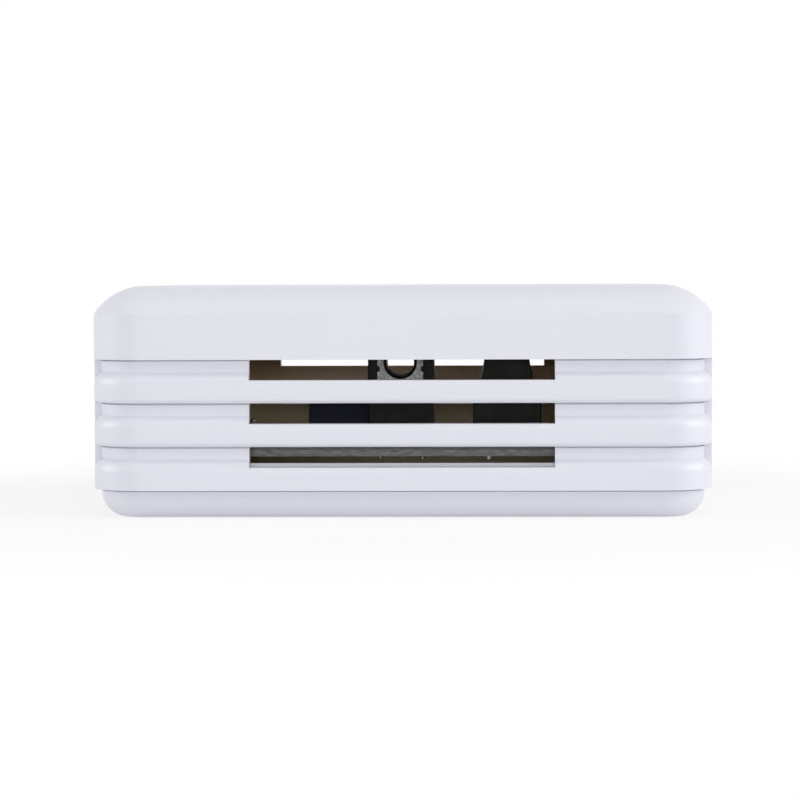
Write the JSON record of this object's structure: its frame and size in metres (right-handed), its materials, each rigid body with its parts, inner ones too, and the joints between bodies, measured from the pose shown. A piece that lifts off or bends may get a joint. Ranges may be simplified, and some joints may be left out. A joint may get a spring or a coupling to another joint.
{
  "type": "temperature transmitter",
  "caption": "Wall-mount temperature transmitter in a ribbed white housing with vent slots, keyholes, a rear cable grommet and a screw terminal block.",
  "frame": {"origin": "centre of the back face, which lies on the wall", "axes": "+Z out of the wall through the front cover, +X along the long sides, up when it hangs on its keyholes, +Y from the pictured slotted side to the opposite one"},
  "size_m": [0.11, 0.085, 0.041],
  "materials": {
    "housing_white": "fine moulded texture",
    "screw_steel": "zinc plated",
    "grommet_rubber": "soft black",
    "board_laminate": "solder mask over woven laminate",
    "terminal_black": "satin",
    "tinned_metal": "tinned",
    "clamp_brass": "plated",
    "choke_black": "satin",
    "potting_grey": "sandy filled resin",
    "ferrite": "sintered",
    "winding_copper": "enamelled copper",
    "module_navy": "moulded",
    "chip_black": "moulded",
    "can_metal": "drawn can",
    "capacitor_sleeve": "shrunk sleeve",
    "fuse_yellow": "dipped",
    "ceramic_tan": "fired ceramic",
    "sensor_white": "moulded",
    "light_lens": "clear"
  },
  "bodies": {
    "housing": {"back_shell": "housing_white", "board_screws": "screw_steel", "button_dome": "tinned_metal", "button_housing": "terminal_black", "button_legs": "tinned_metal", "capacitor_leads": "tinned_metal", "capacitors": "capacitor_sleeve", "chip_capacitors": "ceramic_tan", "chip_resistors": "chip_black", "choke_case": "choke_black", "choke_core": "ferrite", "choke_pins": "tinned_metal", "choke_potting": "potting_grey", "choke_winding": "winding_copper", "circuit_board": "board_laminate", "crystal": "can_metal", "front_cover": "housing_white", "fuse_leads": "tinned_metal", "header_pins": "tinned_metal", "housing_screws": "screw_steel", "microcontroller": "chip_black", "microcontroller_leads": "tinned_metal", "middle_shell": "housing_white", "power_inductor": "ferrite", "power_module": "module_navy", "power_module_pins": "tinned_metal", "programming_header": "terminal_black", "regulator_leads": "tinned_metal", "resettable_fuse": "fuse_yellow", "sensor_board": "board_laminate", "sensor_chip": "sensor_white", "sensor_pins": "tinned_metal", "status_light": "light_lens", "surge_diodes": "chip_black", "terminal_housing": "terminal_black", "terminal_pins": "tinned_metal", "transceiver": "chip_black", "transceiver_leads": "tinned_metal", "voltage_regulator": "chip_black", "wire_grommet": "grommet_rubber"},
    "terminal_screw_1": {"terminal_screw_1": "screw_steel"},
    "wire_clamp_1": {"wire_clamp_1": "clamp_brass"},
    "terminal_screw_2": {"terminal_screw_2": "screw_steel"},
    "wire_clamp_2": {"wire_clamp_2": "clamp_brass"},
    "terminal_screw_3": {"terminal_screw_3": "screw_steel"},
    "wire_clamp_3": {"wire_clamp_3": "clamp_brass"},
    "terminal_screw_4": {"terminal_screw_4": "screw_steel"},
    "wire_clamp_4": {"wire_clamp_4": "clamp_brass"},
    "button_plunger": {"button_plunger": "terminal_black"}
  },
  "joints": [
    {"name": "terminal_screw_1_turn", "type": "hinge", "parent": "housing", "child": "terminal_screw_1", "pos_m": [0.0187, -0.02796, 0.027], "axis": [0, 0, -1], "range_deg": [0, 1440]},
    {"name": "wire_clamp_1_rise", "type": "slide", "parent": "housing", "child": "wire_clamp_1", "axis": [0, 0, 1], "range_m": [0, 0.002]},
    {"name": "terminal_screw_2_turn", "type": "hinge", "parent": "housing", "child": "terminal_screw_2", "pos_m": [0.0187, -0.02288, 0.027], "axis": [0, 0, -1], "range_deg": [0, 1440]},
    {"name": "wire_clamp_2_rise", "type": "slide", "parent": "housing", "child": "wire_clamp_2", "axis": [0, 0, 1], "range_m": [0, 0.002]},
    {"name": "terminal_screw_3_turn", "type": "hinge", "parent": "housing", "child": "terminal_screw_3", "pos_m": [0.0187, -0.0178, 0.027], "axis": [0, 0, -1], "range_deg": [0, 1440]},
    {"name": "wire_clamp_3_rise", "type": "slide", "parent": "housing", "child": "wire_clamp_3", "axis": [0, 0, 1], "range_m": [0, 0.002]},
    {"name": "terminal_screw_4_turn", "type": "hinge", "parent": "housing", "child": "terminal_screw_4", "pos_m": [0.0187, -0.01272, 0.027], "axis": [0, 0, -1], "range_deg": [0, 1440]},
    {"name": "wire_clamp_4_rise", "type": "slide", "parent": "housing", "child": "wire_clamp_4", "axis": [0, 0, 1], "range_m": [0, 0.002]},
    {"name": "button_press", "type": "slide", "parent": "housing", "child": "button_plunger", "axis": [0, 0, -1], "range_m": [0, 0.00025], "stiffness_N_per_m": 4000, "springref_m": -0.0001}
  ],
  "couplings": [
    {"joint": "terminal_screw_1_turn", "follows": "wire_clamp_1_rise", "rad_per_m": 12566},
    {"joint": "terminal_screw_2_turn", "follows": "wire_clamp_2_rise", "rad_per_m": 12566},
    {"joint": "terminal_screw_3_turn", "follows": "wire_clamp_3_rise", "rad_per_m": 12566},
    {"joint": "terminal_screw_4_turn", "follows": "wire_clamp_4_rise", "rad_per_m": 12566}
  ]
}
